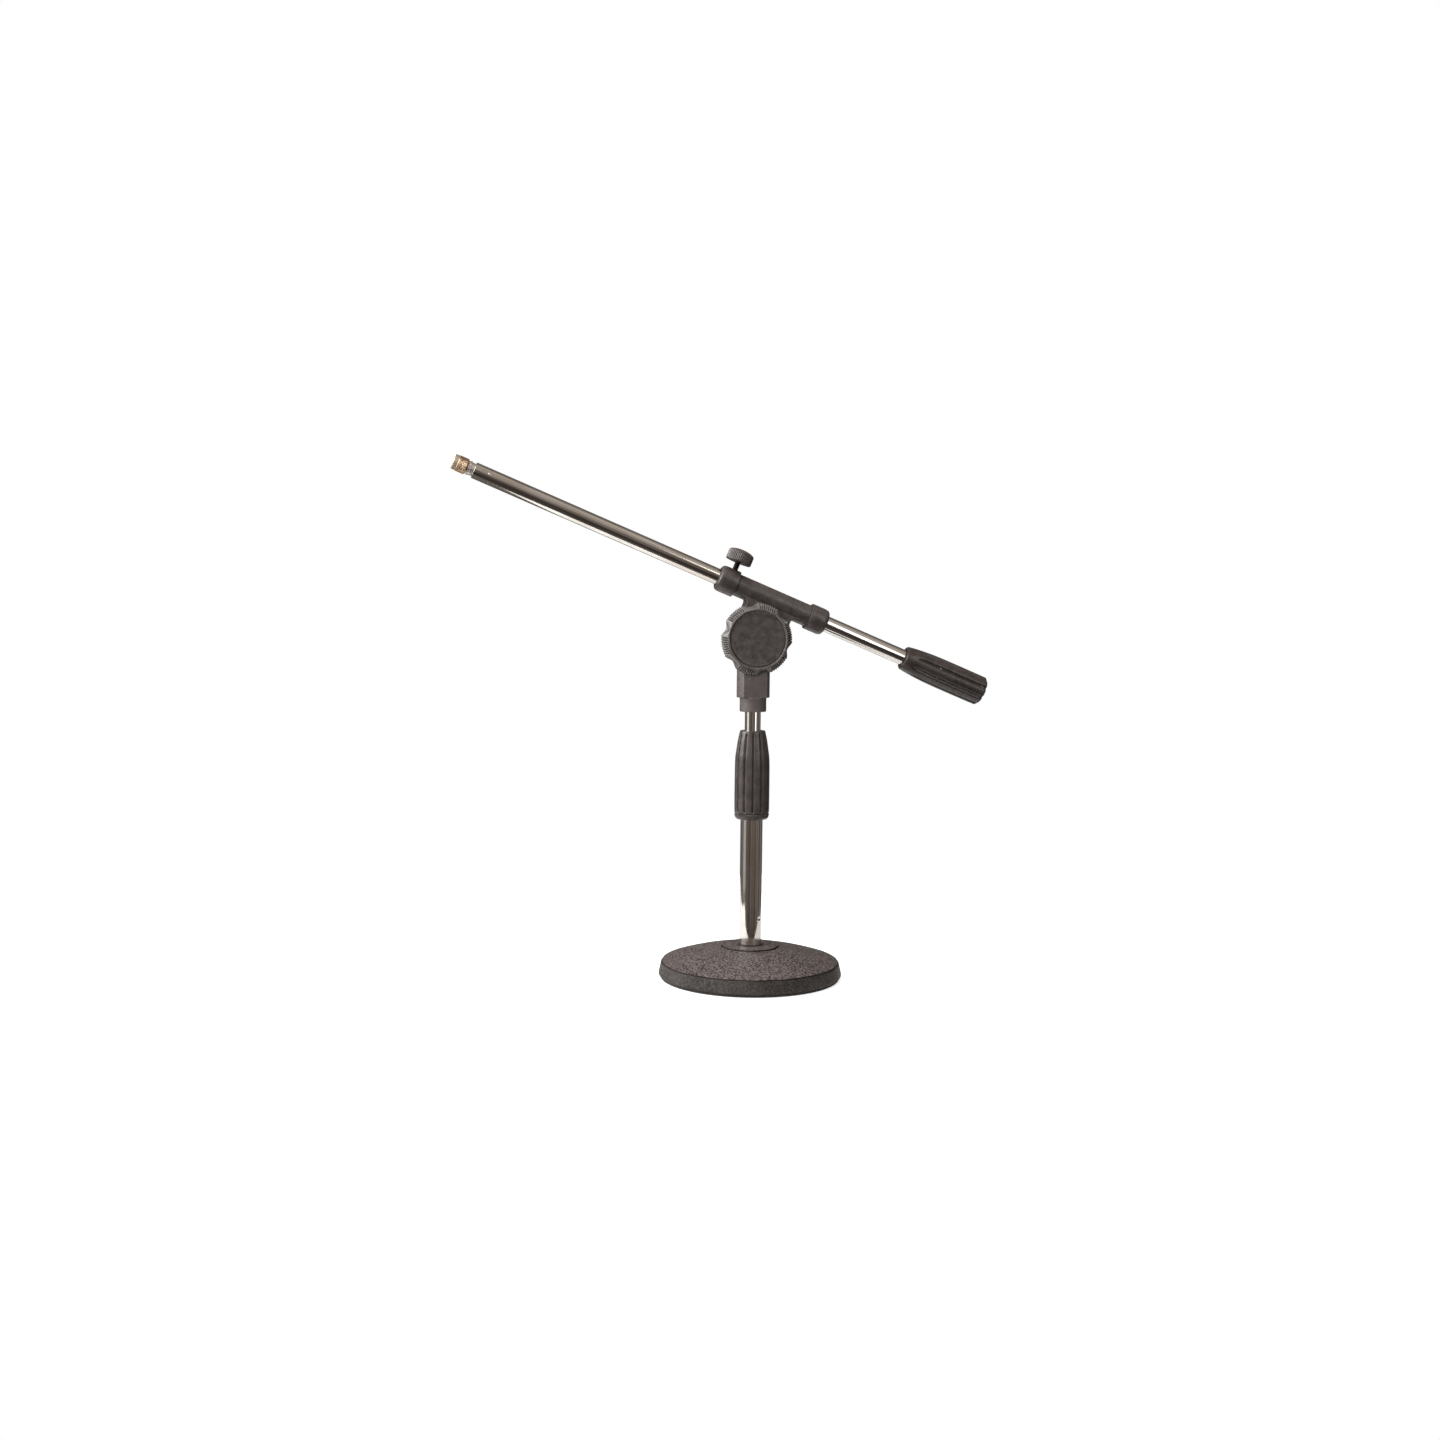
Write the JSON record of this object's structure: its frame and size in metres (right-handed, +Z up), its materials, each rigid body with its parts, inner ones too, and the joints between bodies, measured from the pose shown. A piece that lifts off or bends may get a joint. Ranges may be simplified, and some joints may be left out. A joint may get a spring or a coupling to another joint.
{
  "type": "boom microphone stand",
  "caption": "Short table-top microphone stand: round cast base, telescopic column with twist clutch, friction hinge with a lobed hand knob, and a counterweighted boom with a threaded tip.",
  "frame": {"origin": "on the surface the stand rests on, at the column's axis", "axes": "+Z up along the column; the boom lies in the XZ plane, its threaded tip towards -X and up and its counterweight towards +X; the hinge knob faces -Y"},
  "size_m": [0.5408, 0.184, 0.5131],
  "materials": {
    "cast_iron_enamel": "satin",
    "rubber": "matte",
    "steel": "satin",
    "chrome_tube": "polished",
    "black_plastic": "satin",
    "grey_plastic": "matte",
    "black_steel": "satin",
    "brass": "satin"
  },
  "bodies": {
    "base": {"base_plate": "cast_iron_enamel", "base_pad": "rubber", "foot_washer": "rubber", "foot_plug": "steel", "foot_lock_washer": "steel", "foot_lock_nut": "steel", "outer_tube": "chrome_tube", "clutch_ferrule": "steel", "clutch_collet": "grey_plastic"},
    "clutch": {"clutch_grip": "black_plastic"},
    "glide": {"glide_bush": "grey_plastic"},
    "mast": {"inner_tube": "chrome_tube", "top_plug": "steel", "hinge_socket": "black_plastic", "hinge_bolt": "steel", "friction_disc": "grey_plastic"},
    "washer": {"knob_washer": "steel"},
    "knob": {"hinge_knob": "black_plastic", "knob_insert": "brass", "knob_cap": "black_plastic"},
    "clamp": {"boom_clamp": "black_plastic", "clamp_collar_front": "black_plastic", "clamp_collar_rear": "black_plastic"},
    "bush": {"boom_bush": "grey_plastic"},
    "boom": {"boom_tube": "chrome_tube", "tip_plug": "steel", "thread_adapter": "brass", "counterweight_core": "steel", "counterweight_sleeve": "black_plastic"},
    "pad": {"pressure_pad": "brass"},
    "lock_screw": {"lock_screw_shank": "black_steel", "lock_screw_knob": "black_plastic"}
  },
  "joints": [
    {"name": "column_slide", "type": "slide", "parent": "base", "child": "glide", "axis": [0, 0, 1], "range_m": [-0.016, 0.08]},
    {"name": "column_swivel", "type": "hinge", "parent": "glide", "child": "mast", "pos_m": [0, 0, 0.3], "axis": [0, 0, 1], "continuous": true},
    {"name": "clutch_turn", "type": "hinge", "parent": "base", "child": "clutch", "pos_m": [0, 0, 0.2], "axis": [0, 0, 1], "range_deg": [0, 120]},
    {"name": "boom_tilt", "type": "hinge", "parent": "mast", "child": "clamp", "pos_m": [0, 0, 0.3397], "axis": [0, 1, 0], "range_deg": [-70, 56]},
    {"name": "hinge_knob_turn", "type": "hinge", "parent": "washer", "child": "knob", "pos_m": [0, 0, 0.3397], "axis": [0, -1, 0], "range_deg": [0, 270]},
    {"name": "hinge_knob_travel", "type": "slide", "parent": "mast", "child": "washer", "axis": [0, -1, 0], "range_m": [0, 0.00095]},
    {"name": "boom_roll", "type": "hinge", "parent": "clamp", "child": "bush", "pos_m": [0.01612, 0, 0.37892], "axis": [0.9249, 0, -0.3803], "continuous": true},
    {"name": "boom_slide", "type": "slide", "parent": "bush", "child": "boom", "axis": [0.9249, 0, -0.3803], "range_m": [-0.085, 0.04]},
    {"name": "lock_screw_turn", "type": "hinge", "parent": "pad", "child": "lock_screw", "pos_m": [-0.01724, 0, 0.41426], "axis": [0.3803, 0, 0.9249], "range_deg": [0, 540]},
    {"name": "lock_screw_travel", "type": "slide", "parent": "clamp", "child": "pad", "axis": [0.3803, 0, 0.9249], "range_m": [0, 0.0016]}
  ],
  "couplings": [
    {"joint": "hinge_knob_travel", "follows": "hinge_knob_turn", "m_per_rad": 0.00019894},
    {"joint": "lock_screw_travel", "follows": "lock_screw_turn", "m_per_rad": 0.00015915}
  ]
}
